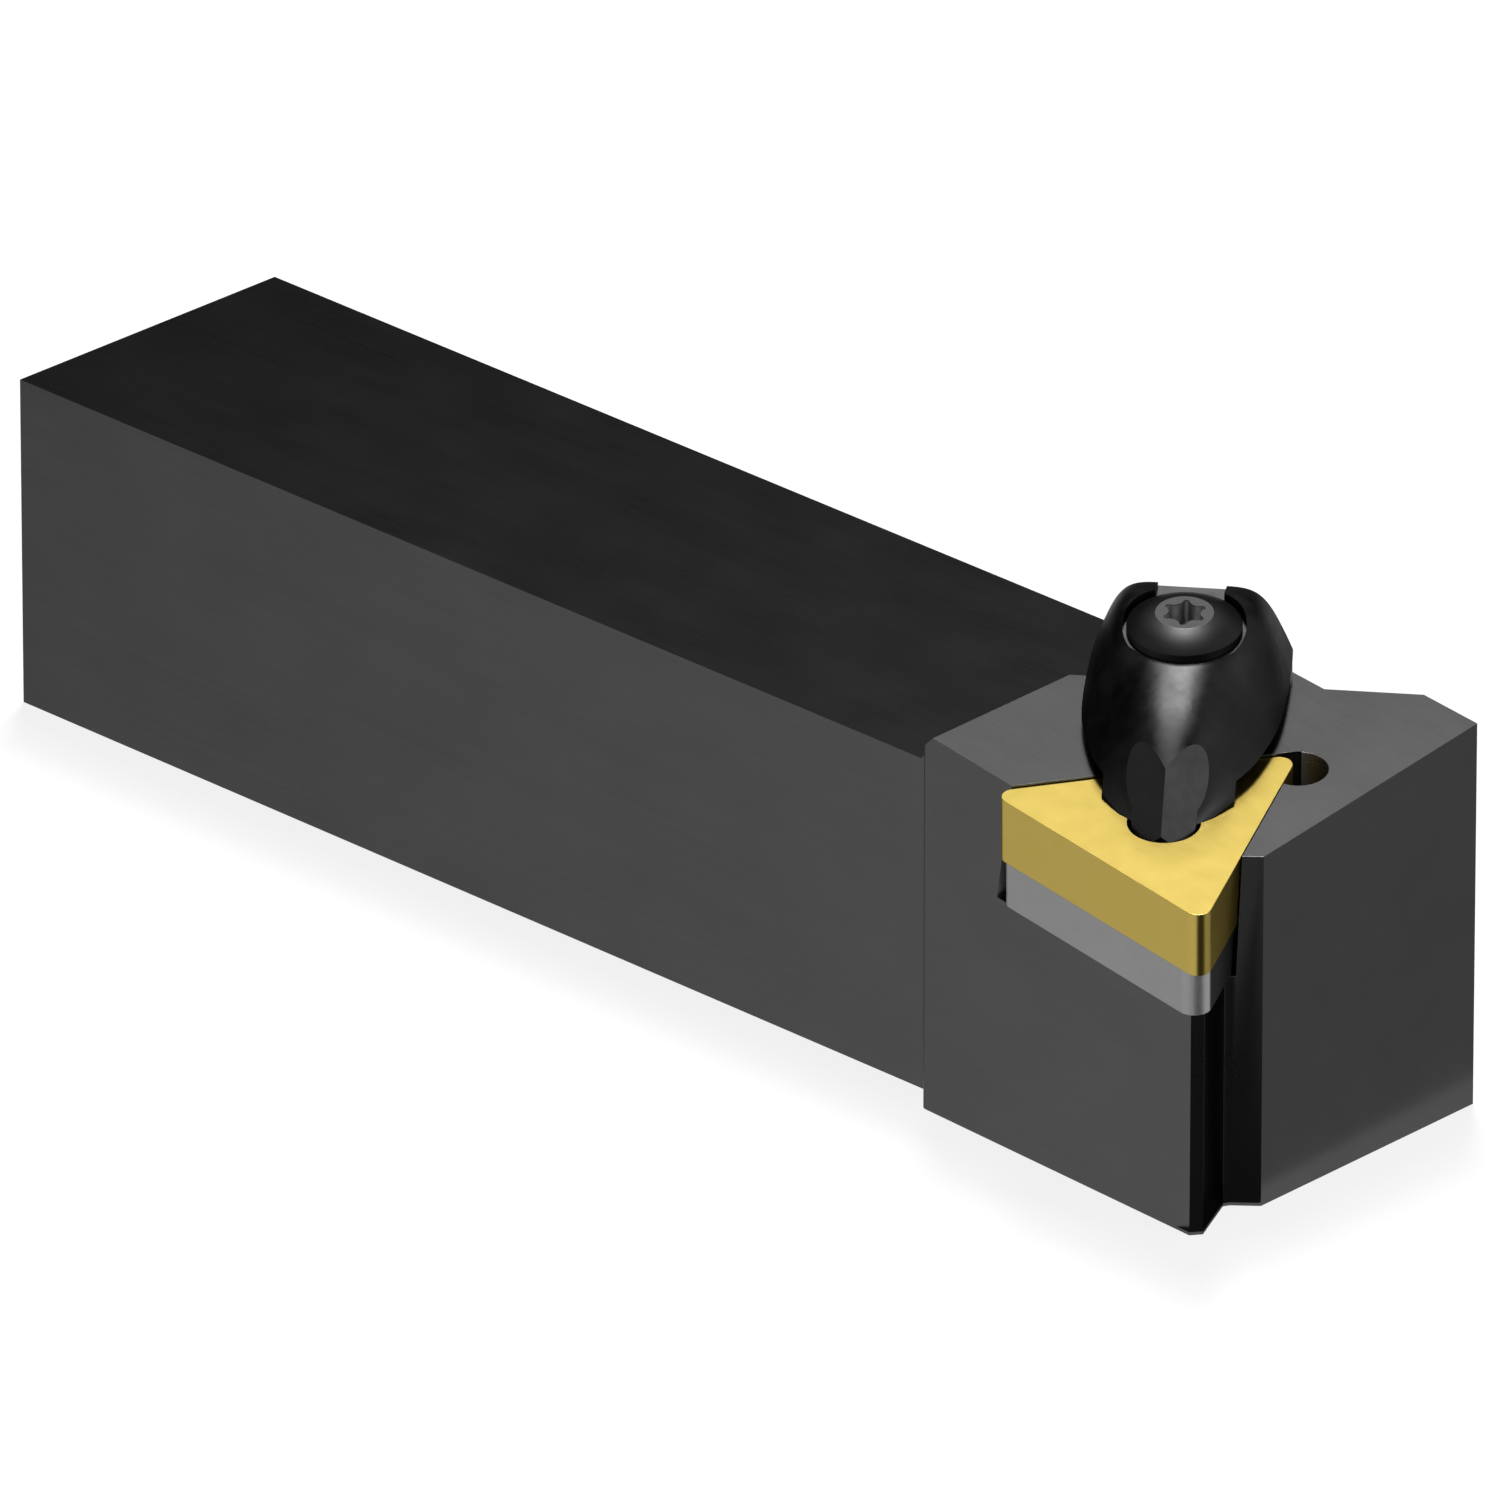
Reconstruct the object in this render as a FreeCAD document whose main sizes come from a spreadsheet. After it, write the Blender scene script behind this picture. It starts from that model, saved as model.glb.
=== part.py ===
import FreeCAD, Part
import math
import os
from types import SimpleNamespace

import Sketcher
from FreeCAD import Placement, Rotation, Vector

# Driving sizes, in millimetres and degrees
SIZES = {
    # shank and head
    "shank_side": 31.75,
    "corner_reach": 153.64,
    "corner_width": 38.3,
    "lead_angle": 3.0,
    "edge_tilt": 6.0,
    "rake_tilt": 6.0,
    "riser_place": 113.03,
    "riser_angle": 45.0,
    "step_place": 115.72,
    "step_round": 0.8,
    "near_relief": 1.82,
    "front_relief": 1.06,
    "corner_trim": 3.52,
    "trim_reach": 3.9,
    "groove_run": 9.71,
    "lip_run": 0.64,
    "lip_angle": 67.6,
    "ramp_run": 2.7,
    "ramp_angle": 45.0,
    "front_lean": 2.3,
    "head_rise": 0.2,
    "clamp_wall": 21.95,
    "clamp_floor": 4.33,
    # insert, shim and the seat that holds them
    "insert_circle": 15.875,
    "insert_thickness": 6.35,
    "insert_hole": 3.175,
    "nose_radius": 1.19,
    "shim_thickness": 4.76,
    "shim_inset": 0.3,
    "shim_nose": 1.6,
    "shim_corner": 1.0,
    "seat_gap": 0.15,
    "relief_radius": 2.63,
    "relief_turn": 44.5,
    "relief_depth": 0.4,
    "shim_screw_radius": 2.5,
    "shim_screw_head": 4.3,
    "shim_screw_sink": 0.3,
    "shim_screw_rim": 0.35,
    "shim_screw_reach": 10.0,
    "shim_screw_gap": 0.15,
    "shim_drive_size": 3.35,
    "shim_drive_depth": 1.8,
    # clamp
    "clamp_turn": 41.7,
    "clamp_half_width": 9.15,
    "clamp_gap": 1.25,
    "foot_half_width": 5.75,
    "foot_corner": 3.27,
    "foot_back": 6.2,
    "foot_gap": 0.02,
    "pin_radius": 2.85,
    "pin_back": 0.2,
    "pin_depth": 2.8,
    "facet_place": 2.9,
    "facet_slope": 47.6,
    "facet_spread": 42.4,
    "screw_back": 17.4,
    "screw_seat": 8.4,
    "seat_radius": 5.4,
    "slot_half_width": 3.0,
    "rear_top": 24.35,
    "rear_bottom": 26.0,
    "tail_half_width": 8.75,
    "tail_gap": 0.1,
    "tail_floor_gap": 0.4,
    "tail_round": 2.0,
    "screw_clearance": 3.25,
    "spring_pocket": 4.5,
    "spring_pocket_top": 5.6,
    # clamp screw and spring
    "thread_radius": 3.0,
    "thread_gap": 0.05,
    "thread_depth": 18.0,
    "hole_spare": 2.0,
    "flange_radius": 5.05,
    "flange_height": 0.7,
    "dome_height": 1.2,
    "dome_bulge": 0.144,
    "flat_radius": 2.55,
    "drive_size": 3.94,
    "drive_depth": 2.2,
    "screw_seat_gap": 0.02,
    "spring_wire": 0.7,
    "spring_radius": 3.75,
    "spring_turns": 3.0,
    "spring_gap": 0.05,
}

s = SimpleNamespace(**SIZES)
REACH = 80.0

# Cross-sections of the clamp at even steps from nose to tail, as shares of its own sizes:
# crown height, shoulder width and height, waist width and height, foot width
CLAMP_START = -0.172
CLAMP_STEP = 0.2155
CLAMP_STATIONS = [
    (0.30, 0.11, 0.27, 0.17, 0.14, 0.24),
    (0.52, 0.17, 0.48, 0.28, 0.24, 0.42),
    (0.73, 0.22, 0.69, 0.47, 0.38, 0.84),
    (0.89, 0.27, 0.85, 0.59, 0.51, 0.945),
    (0.995, 0.32, 0.95, 0.67, 0.60, 1.00),
    (1.12, 0.55, 1.04, 0.79, 0.64, 1.035),
    (1.18, 0.64, 1.07, 0.83, 0.67, 1.03),
    (1.08, 0.62, 1.01, 0.84, 0.58, 1.02),
    (0.93, 0.57, 0.88, 0.83, 0.50, 0.955),
]

doc = FreeCAD.newDocument("turning_tool_holder")
sheet = doc.addObject("Spreadsheet::Sheet", "Sizes")
for row, (name, number) in enumerate(SIZES.items(), start=1):
    sheet.set(f"A{row}", name)
    sheet.set(f"B{row}", str(number))
    sheet.setAlias(f"B{row}", name)
doc.recompute()


# Frames of the tilted seat, the clamp and its screw
def turned(angle):
    return Placement(Vector(), Rotation(Vector(0, 0, 1), angle))


def moved(along=0.0, across=0.0, up=0.0):
    return Placement(Vector(along, across, up), Rotation())


def seat_frame():
    lead = math.radians(s.lead_angle)
    along = Vector(math.cos(lead), -math.sin(lead), -math.tan(math.radians(s.edge_tilt)))
    across = Vector(math.sin(lead), math.cos(lead), math.tan(math.radians(s.rake_tilt)))
    edge = along.normalize()
    up = edge.cross(across).normalize()
    side = up.cross(edge)
    corner = Vector(s.corner_reach, s.shank_side / 2 - s.corner_width, s.shank_side)
    half_edge = s.insert_circle / 2 * math.sqrt(3)
    centre = corner - edge * half_edge + side * (s.insert_circle / 2)
    return Placement(centre, Rotation(edge, side, up, "ZXY"))


SEAT = seat_frame()
CLAMP = SEAT * turned(s.clamp_turn)
SCREW = CLAMP * moved(across=s.screw_back)
UNDERSIDE = s.head_rise + s.clamp_gap
SHIM_TOP = -s.insert_thickness
FLOOR = SHIM_TOP - s.shim_thickness
TAIL_FRONT = s.clamp_wall + s.tail_gap
TAIL_BOTTOM = s.tail_floor_gap - s.clamp_floor


# Bodies, sketches and features
def new_body(label, frame):
    body = doc.addObject("PartDesign::Body", label)
    body.Label = label
    body.Placement = frame
    return body


def new_sketch(body, name, role="XY_Plane", offset=Placement()):
    sketch = body.newObject("Sketcher::SketchObject", name)
    plane = [item for item in body.Origin.OriginFeatures if item.Role == role][0]
    sketch.AttachmentSupport = (plane, [""])
    sketch.MapMode = "FlatFace"
    sketch.AttachmentOffset = offset
    sketch.Visibility = False
    return sketch


def feature(body, kind, name, sketch, rules=None, **settings):
    item = body.newObject("PartDesign::" + kind, name)
    item.Profile = sketch
    for key, setting in settings.items():
        setattr(item, key, setting)
    for key, rule in (rules or {}).items():
        item.setExpression(key, rule)
    doc.recompute()
    return item


def pad(body, name, sketch, length, down=False):
    return feature(body, "Pad", name, sketch, {"Length": length}, Reversed=down)


def cut_up(body, name, sketch):
    return feature(body, "Pocket", name, sketch, Length=REACH, Reversed=True)


def cut_down(body, name, sketch, length=None):
    rules = {"Length": length} if length else {}
    return feature(body, "Pocket", name, sketch, rules, Length=REACH)


def cut_both_ways(body, name, sketch):
    return feature(body, "Pocket", name, sketch, Length=2 * REACH, Midplane=True)


def draw_outline(sketch, corners, rounds=None):
    rounds = rounds or {}
    count = len(corners)
    starts = []
    ends = []
    for number, corner in enumerate(corners):
        here = Vector(*corner)
        before = (Vector(*corners[number - 1]) - here).normalize()
        after = (Vector(*corners[(number + 1) % count]) - here).normalize()
        radius = rounds.get(number, 0)
        first = here
        last = here
        if radius:
            half = before.getAngle(after) / 2
            first = here + before * (radius / math.tan(half))
            last = here + after * (radius / math.tan(half))
            middle = here + (before + after).normalize() * (radius / math.sin(half) - radius)
            sketch.addGeometry(Part.Arc(first, middle, last), False)
        starts.append(first)
        ends.append(last)
    for number in range(count):
        sketch.addGeometry(Part.LineSegment(ends[number], starts[(number + 1) % count]), False)


def draw_circle(sketch, radius, rule, at=(0, 0)):
    number = sketch.addGeometry(Part.Circle(Vector(*at), Vector(0, 0, 1), radius), False)
    sketch.addConstraint(Sketcher.Constraint("Radius", number, radius))
    sketch.setExpression("Constraints[0]", rule)


def rectangle(left, low, right, high):
    return [(left, low), (right, low), (right, high), (left, high)]


def around(radius, angle):
    turn = math.radians(angle)
    return Vector(radius * math.cos(turn), radius * math.sin(turn))


# Six round lobes with tangent valleys between them, for a driver
def draw_drive(sketch, size, tip_share=0.075, root_share=0.355):
    tip = size * tip_share
    root = size * root_share
    tip_centre = size / 2 - tip
    cosine = math.cos(math.radians(30))
    above = tip**2 - tip_centre**2 - root**2 + 2 * tip_centre * root * cosine
    valley = above / (2 * root - 2 * tip_centre * cosine - 2 * tip)
    for lobe in range(6):
        angle = 90 + 60 * lobe
        centre = around(tip_centre, angle)
        before = around(root + valley, angle - 30)
        after = around(root + valley, angle + 30)
        first = centre + (before - centre).normalize() * tip
        last = centre + (after - centre).normalize() * tip
        next_centre = around(tip_centre, angle + 60)
        next_first = next_centre + (after - next_centre).normalize() * tip
        sketch.addGeometry(Part.Arc(first, around(size / 2, angle), last), False)
        sketch.addGeometry(Part.Arc(last, around(root, angle + 30), next_first), False)


# Plan of the head: lead and across are measured from the sharp cutting corner
def plan_point(lead, across):
    turn = math.radians(s.lead_angle)
    x = s.corner_reach + lead * math.cos(turn) + across * math.sin(turn)
    y = s.shank_side / 2 - s.corner_width - lead * math.sin(turn) + across * math.cos(turn)
    return x, y


def head_plan():
    half = s.shank_side / 2
    edge_along = Vector(-0.5, math.sqrt(3) / 2)
    edge_inward = Vector(-math.sqrt(3) / 2, -0.5)
    line = edge_inward * s.front_relief
    trim_end = line + edge_along * s.trim_reach
    groove_end = line + edge_along * s.groove_run
    lip_end = groove_end + around(s.lip_run, s.lip_angle)
    ramp_end = lip_end + around(s.ramp_run, s.ramp_angle)
    near_front = plan_point(-s.corner_trim, s.near_relief)
    near_y = near_front[1] + (near_front[0] - s.step_place) * math.tan(math.radians(s.lead_angle))
    front_near = plan_point(ramp_end.x, ramp_end.y)
    front_far = front_near[0] - (half - front_near[1]) * math.tan(math.radians(s.front_lean))
    return [
        (s.step_place, near_y),
        near_front,
        plan_point(trim_end.x, trim_end.y),
        plan_point(groove_end.x, groove_end.y),
        plan_point(lip_end.x, lip_end.y),
        front_near,
        (front_far, half),
        (s.riser_place, half),
        (s.riser_place, -half),
        (s.step_place, -half),
    ]


# Steel holder: square shank, raised head, insert seat, clamp wall and tapped holes
def make_holder():
    body = new_body("holder_body", Placement())
    half = s.shank_side / 2

    shank = new_sketch(body, "shank_section", "YZ_Plane")
    draw_outline(shank, rectangle(-half, 0, half, s.shank_side))
    pad(body, "shank", shank, "Sizes.step_place")

    head = new_sketch(body, "head_plan")
    draw_outline(head, head_plan(), {0: s.step_round})
    feature(body, "Pad", "head", head, Length=REACH)

    riser = new_sketch(body, "riser_side", "XZ_Plane")
    slope = REACH / math.tan(math.radians(s.riser_angle))
    corners = [
        (s.riser_place, s.shank_side),
        (s.riser_place + slope, s.shank_side + REACH),
        (s.riser_place - REACH, s.shank_side + REACH),
        (s.riser_place - REACH, s.shank_side),
    ]
    draw_outline(riser, corners)
    cut_both_ways(body, "riser", riser)

    top = new_sketch(body, "head_top_plan", offset=SEAT * moved(up=s.head_rise))
    draw_outline(top, rectangle(-REACH, -REACH, REACH, REACH))
    cut_up(body, "head_top", top)

    ledge = new_sketch(body, "clamp_ledge_plan", offset=CLAMP * moved(up=-s.clamp_floor))
    draw_outline(ledge, rectangle(-REACH, s.clamp_wall, REACH, REACH))
    cut_up(body, "clamp_ledge", ledge)

    seat = new_sketch(body, "seat_plan", offset=SEAT * moved(up=FLOOR))
    apex = Vector(0, s.insert_circle + 2 * s.seat_gap)
    corners = [apex, apex + around(REACH, -120), apex + around(REACH, -60)]
    draw_outline(seat, [(point.x, point.y) for point in corners])
    cut_up(body, "seat", seat)

    relief = new_sketch(body, "relief_plan", offset=SEAT * moved(up=FLOOR - s.relief_depth))
    place = Vector(0, s.insert_circle) + around(s.relief_radius, -s.relief_turn)
    draw_circle(relief, s.relief_radius, "Sizes.relief_radius", (place.x, place.y))
    cut_up(body, "relief", relief)

    shim_hole = new_sketch(body, "shim_thread_plan", offset=SEAT * moved(up=FLOOR))
    radius = s.shim_screw_radius + s.thread_gap
    draw_circle(shim_hole, radius, "Sizes.shim_screw_radius + Sizes.thread_gap")
    cut_down(body, "shim_thread", shim_hole, "Sizes.shim_screw_reach + Sizes.hole_spare")

    clamp_hole = new_sketch(body, "clamp_thread_plan", offset=SCREW * moved(up=s.head_rise))
    draw_circle(clamp_hole, s.thread_radius + s.thread_gap, "Sizes.thread_radius + Sizes.thread_gap")
    cut_down(body, "clamp_thread", clamp_hole, "Sizes.thread_depth + Sizes.hole_spare")
    return body


def triangle(inscribed):
    wide = inscribed * math.sqrt(3)
    return [(-wide, -inscribed), (wide, -inscribed), (0, 2 * inscribed)]


# Flat-topped carbide insert with a plain hole
def make_insert():
    body = new_body("insert", SEAT)
    plan = new_sketch(body, "insert_plan")
    draw_outline(plan, triangle(s.insert_circle / 2), {n: s.nose_radius for n in range(3)})
    pad(body, "insert_plate", plan, "Sizes.insert_thickness", down=True)
    hole = new_sketch(body, "insert_hole_plan")
    draw_circle(hole, s.insert_hole, "Sizes.insert_hole")
    cut_down(body, "insert_bore", hole)
    return body


# Carbide shim under the insert, countersunk for its screw
def make_shim():
    body = new_body("shim", SEAT * moved(up=SHIM_TOP))
    plan = new_sketch(body, "shim_plan")
    inscribed = s.insert_circle / 2 - s.shim_inset
    draw_outline(plan, triangle(inscribed), {0: s.shim_corner, 1: s.shim_nose, 2: s.shim_corner})
    pad(body, "shim_plate", plan, "Sizes.shim_thickness", down=True)
    sink = new_sketch(body, "shim_sink_side", "XZ_Plane")
    wide = s.shim_screw_head + s.shim_screw_gap
    narrow = s.shim_screw_radius + s.shim_screw_gap
    rim = s.shim_screw_sink + s.shim_screw_rim
    cone = rim + wide - narrow
    corners = [
        (0, 0),
        (wide, 0),
        (wide, -rim),
        (narrow, -cone),
        (narrow, -s.shim_thickness),
        (0, -s.shim_thickness),
    ]
    draw_outline(sink, corners)
    feature(body, "Groove", "shim_sink", sink, ReferenceAxis=(sink, ["V_Axis"]), Angle=360.0)
    return body


# Countersunk screw that holds the shim down
def make_shim_screw():
    body = new_body("shim_screw", SEAT * moved(up=SHIM_TOP))
    side = new_sketch(body, "shim_screw_side", "XZ_Plane")
    rim = s.shim_screw_sink + s.shim_screw_rim
    neck = rim + s.shim_screw_head - s.shim_screw_radius
    end = s.shim_thickness + s.shim_screw_reach
    corners = [
        (0, -s.shim_screw_sink),
        (s.shim_screw_head, -s.shim_screw_sink),
        (s.shim_screw_head, -rim),
        (s.shim_screw_radius, -neck),
        (s.shim_screw_radius, -end),
        (0, -end),
    ]
    draw_outline(side, corners)
    feature(body, "Revolution", "shim_screw_turned", side, ReferenceAxis=(side, ["V_Axis"]), Angle=360.0)
    drive = new_sketch(body, "shim_drive_plan", offset=moved(up=-s.shim_screw_sink))
    draw_drive(drive, s.shim_drive_size)
    cut_down(body, "shim_drive", drive, "Sizes.shim_drive_depth")
    return body


# One cross-section of the clamp, as a smooth arch over a flat base
def draw_station(body, number, station):
    crown, shoulder, shoulder_up, waist, waist_up, base = station
    place = CLAMP_START + CLAMP_STEP * number
    wide = s.clamp_half_width
    tall = s.screw_seat
    offset = moved(up=-place * s.screw_back)
    sketch = new_sketch(body, f"clamp_station_{number}", "XZ_Plane", offset)
    side = [
        Vector(base * wide, s.foot_gap),
        Vector(waist * wide, waist_up * tall),
        Vector(shoulder * wide, shoulder_up * tall),
    ]
    mirrored = [Vector(-point.x, point.y) for point in reversed(side)]
    arch = Part.BSplineCurve()
    arch.interpolate(side + [Vector(0, crown * tall)] + mirrored)
    sketch.addGeometry(arch, False)
    sketch.addGeometry(Part.LineSegment(mirrored[-1], side[0]), False)
    return sketch


# Tip of the two lines that run from the foot's corners past the round of the pin
def foot_tip():
    corner = Vector(s.foot_half_width, s.foot_corner)
    to_pin = Vector(0, s.pin_back) - corner
    swing = math.degrees(math.asin(s.pin_radius / to_pin.Length))
    heading = math.degrees(math.atan2(to_pin.y, to_pin.x)) + swing
    direction = around(1.0, heading)
    return corner.y - corner.x * direction.y / direction.x


# Forged clamp: arched back, foot, pin for the insert's hole, hooked tail and screw seat
def make_clamp():
    body = new_body("clamp", CLAMP)
    stations = [draw_station(body, *item) for item in enumerate(CLAMP_STATIONS)]
    feature(body, "AdditiveLoft", "clamp_back", stations[0], Sections=stations[1:])

    tip = foot_tip()
    side_slope = (s.foot_corner - tip) / s.foot_half_width
    front = new_sketch(body, "nose_trim_plan")
    corners = [
        (REACH, tip + side_slope * REACH),
        (0, tip),
        (-REACH, tip + side_slope * REACH),
        (-REACH, -REACH),
        (REACH, -REACH),
    ]
    draw_outline(front, corners, {1: s.pin_radius})
    cut_up(body, "nose_trim", front)

    under = new_sketch(body, "underside_plan", offset=moved(up=UNDERSIDE))
    corners = [
        (-REACH, s.foot_corner),
        (-s.foot_half_width, s.foot_corner),
        (-s.foot_half_width, s.foot_back),
        (s.foot_half_width, s.foot_back),
        (s.foot_half_width, s.foot_corner),
        (REACH, s.foot_corner),
        (REACH, REACH),
        (-REACH, REACH),
    ]
    draw_outline(under, corners)
    cut_down(body, "underside", under)

    tail = new_sketch(body, "tail_plan", offset=moved(up=TAIL_BOTTOM))
    half = s.tail_half_width
    corners = rectangle(-half, TAIL_FRONT, half, s.rear_bottom)
    draw_outline(tail, corners, {2: s.tail_round, 3: s.tail_round})
    tail_pad = "Sizes.clamp_floor - Sizes.tail_floor_gap + Sizes.head_rise + Sizes.clamp_gap"
    pad(body, "tail", tail, tail_pad)

    pin = new_sketch(body, "pin_plan", offset=moved(up=-s.pin_depth))
    draw_circle(pin, s.pin_radius, "Sizes.pin_radius", (0, s.pin_back))
    pad(body, "pin", pin, "Sizes.pin_depth + Sizes.head_rise + Sizes.clamp_gap")

    for name, hand in (("right", 1), ("left", -1)):
        trace = around(1.0, s.facet_spread)
        trace.x = trace.x * hand
        ridge = around(1.0, s.facet_slope)
        rise = Vector(0, ridge.x, ridge.y)
        outward = trace.cross(rise) * hand
        frame = Placement(Vector(0, -s.facet_place, 0), Rotation(trace, Vector(), outward, "ZXY"))
        facet = new_sketch(body, f"{name}_facet_plan", offset=frame)
        draw_outline(facet, rectangle(-REACH, -REACH, REACH, REACH))
        cut_up(body, f"{name}_facet", facet)

    rear = new_sketch(body, "rear_side", "YZ_Plane")
    corners = [
        (s.rear_bottom, UNDERSIDE),
        (2 * s.rear_top - s.rear_bottom, 2 * s.screw_seat - UNDERSIDE),
        (REACH, 2 * s.screw_seat - UNDERSIDE),
        (REACH, UNDERSIDE),
    ]
    draw_outline(rear, corners)
    cut_both_ways(body, "rear", rear)

    bore = new_sketch(body, "screw_seat_plan", offset=moved(up=s.screw_seat))
    half = s.slot_half_width
    shoulder = s.screw_back + math.sqrt(s.seat_radius**2 - half**2)
    corners = [(half, shoulder), (half, REACH), (-half, REACH), (-half, shoulder)]
    corners = [Vector(*corner) for corner in corners]
    for first, last in zip(corners, corners[1:]):
        bore.addGeometry(Part.LineSegment(first, last), False)
    front = Vector(0, s.screw_back - s.seat_radius)
    bore.addGeometry(Part.Arc(corners[-1], front, corners[0]), False)
    cut_up(body, "screw_seat", bore)

    middle = (0, s.screw_back)
    hole = new_sketch(body, "screw_hole_plan")
    draw_circle(hole, s.screw_clearance, "Sizes.screw_clearance", middle)
    cut_up(body, "screw_hole", hole)
    pocket = new_sketch(body, "spring_pocket_plan", offset=moved(up=s.spring_pocket_top))
    draw_circle(pocket, s.spring_pocket, "Sizes.spring_pocket", middle)
    cut_down(body, "spring_pocket", pocket)
    return body


# Domed clamp screw with a six-lobe drive
def make_clamp_screw():
    under_head = s.screw_seat + s.screw_seat_gap
    body = new_body("clamp_screw", SCREW * moved(up=under_head))
    rim = s.flange_height
    top = rim + s.dome_height
    end = s.head_rise - s.thread_depth - under_head
    side = new_sketch(body, "clamp_screw_side", "XZ_Plane")
    edge = Vector(s.flange_radius, rim)
    flat = Vector(s.flat_radius, top)
    bulge = Vector(top - rim, s.flange_radius - s.flat_radius).normalize() * s.dome_bulge
    corners = [flat, Vector(0, top), Vector(0, end), Vector(s.thread_radius, end)]
    corners += [Vector(s.thread_radius, 0), Vector(s.flange_radius, 0), edge]
    for first, last in zip(corners, corners[1:]):
        side.addGeometry(Part.LineSegment(first, last), False)
    side.addGeometry(Part.Arc(edge, (edge + flat) * 0.5 + bulge, flat), False)
    feature(body, "Revolution", "clamp_screw_turned", side, ReferenceAxis=(side, ["V_Axis"]), Angle=360.0)
    drive = new_sketch(body, "drive_plan", offset=moved(up=top))
    draw_drive(drive, s.drive_size)
    cut_down(body, "drive", drive, "Sizes.drive_depth")
    return body


# Spring with ground ends that lifts the clamp off the insert
def make_spring():
    seat = s.head_rise + s.spring_gap
    room = s.spring_pocket_top - s.spring_gap - seat
    pitch = (room + s.spring_wire) / s.spring_turns
    coil = doc.addObject("Part::Helix", "spring_path")
    coil.Pitch = pitch
    coil.Height = room + s.spring_wire
    coil.setExpression("Radius", "Sizes.spring_radius")
    wire = doc.addObject("Part::RegularPolygon", "spring_wire_section")
    wire.Polygon = 6
    wire.setExpression("Circumradius", "Sizes.spring_wire / 2")
    wire.Placement = Placement(Vector(s.spring_radius, 0, 0), Rotation(Vector(1, 0, 0), 90))
    sweep = doc.addObject("Part::Sweep", "spring_coil")
    sweep.Sections = [wire]
    sweep.Spine = (coil, [])
    sweep.Solid = True
    sweep.Frenet = True
    barrel = doc.addObject("Part::Cylinder", "spring_ends")
    barrel.setExpression("Radius", "Sizes.spring_radius + Sizes.spring_wire")
    barrel.Height = room
    barrel.Placement = moved(up=s.spring_wire / 2)
    spring = doc.addObject("Part::Common", "clamp_spring")
    spring.Label = "clamp_spring"
    spring.Base = sweep
    spring.Tool = barrel
    spring.Placement = SCREW * moved(up=seat - s.spring_wire / 2)
    doc.recompute()
    return spring


pieces = [
    make_holder(),
    make_shim(),
    make_shim_screw(),
    make_insert(),
    make_clamp(),
    make_clamp_screw(),
    make_spring(),
]
doc.recompute()

# Check every object, then write one file for each piece
for item in doc.Objects:
    if "Invalid" in item.State or "Error" in item.State:
        raise RuntimeError("object not built: " + item.Name)
os.makedirs("parts", exist_ok=True)
for piece in pieces:
    shape = piece.Shape
    if shape.isNull() or not shape.isValid() or len(shape.Solids) != 1:
        raise RuntimeError("piece is not one sound solid: " + piece.Label)
    shape.exportStep(f"parts/{piece.Label}.step")
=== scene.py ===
import math

import bmesh
import bpy
from mathutils import Matrix, Vector


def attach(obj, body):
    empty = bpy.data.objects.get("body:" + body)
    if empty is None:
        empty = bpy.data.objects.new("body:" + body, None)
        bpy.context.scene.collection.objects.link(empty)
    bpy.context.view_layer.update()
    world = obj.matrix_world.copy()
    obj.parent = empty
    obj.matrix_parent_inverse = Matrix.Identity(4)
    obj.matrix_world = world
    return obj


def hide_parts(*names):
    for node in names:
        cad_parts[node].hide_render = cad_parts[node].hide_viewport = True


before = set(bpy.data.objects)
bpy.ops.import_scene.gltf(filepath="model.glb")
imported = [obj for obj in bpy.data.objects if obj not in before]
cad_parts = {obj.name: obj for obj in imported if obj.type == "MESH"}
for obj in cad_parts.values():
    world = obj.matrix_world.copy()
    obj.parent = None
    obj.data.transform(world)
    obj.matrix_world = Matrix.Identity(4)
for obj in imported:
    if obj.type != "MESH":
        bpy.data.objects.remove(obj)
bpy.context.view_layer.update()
MM = 0.001

# Tilted seat of the insert and the clamp's place on it, in millimetres and degrees
LEAD_ANGLE = 3.0
EDGE_TILT = 6.0
RAKE_TILT = 6.0
CORNER_REACH = 153.64
CORNER_WIDTH = 38.3
SHANK_SIDE = 31.75
INSERT_CIRCLE = 15.875
CLAMP_TURN = 41.7
SCREW_BACK = 17.4

# Heights along the screws above the insert's top face, in millimetres
SCREW_HEAD_UNDERSIDE = 8.42
SCREW_FLAT = 10.32
SHIM_HEAD_UNDERSIDE = -8.80
SPRING_FOOT = 0.25
SPRING_TOP = 5.55

# Sizes of what the finishes and their painted light pick out, in millimetres
HOLDER_LENGTH = 153.0
FLAT_RADIUS = 2.55
DRIVE_RADIUS = 2.05
RELIEF_RADIUS = 2.63

# How far the relief hole's centre turns about the insert's back corner, and the bearings from the shank's
# length that the faces with the groove's painted shade and the shim's painted bright nose look along, in
# degrees
RELIEF_TURN = 44.5
GROOVE_BEARING = 27.0
NOSE_BEARING = -15.0

# What a metal mirrors at a grazing angle, half of white, so that its edges don't flare
GRAZING_TONE = (0.5, 0.5, 0.5, 1.0)

# A noise's readings lie between these, apart from its rare peaks
NOISE_LOW = 0.3
NOISE_HIGH = 0.7

# Points of a CAD mesh that lie this near each other are one
WELD = 0.0005 * MM

# A screw's points belong to its shank or its end when they lie within this many millimetres of it
NEAR = 0.01

# Thread profile in shares of a pitch, and how many rings of points each pitch gets
CREST_SHARE = 0.125
FLANK_SHARE = 0.625
RUN_IN_SHARE = 0.5
RINGS_A_PITCH = 10

# Threads, M6 on the clamp screw and M5 on the shim screw, in millimetres. The shank runs from its top to
# its end, and the thread starts below the top.
CLAMP_THREAD = {"radius": 3.0, "top": SCREW_HEAD_UNDERSIDE, "start": 4.0, "end": -17.8,
                "pitch": 1.0, "depth": 0.6}
SHIM_THREAD = {"radius": 2.5, "top": SHIM_HEAD_UNDERSIDE, "start": -11.3, "end": -21.11,
               "pitch": 0.8, "depth": 0.48}

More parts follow.
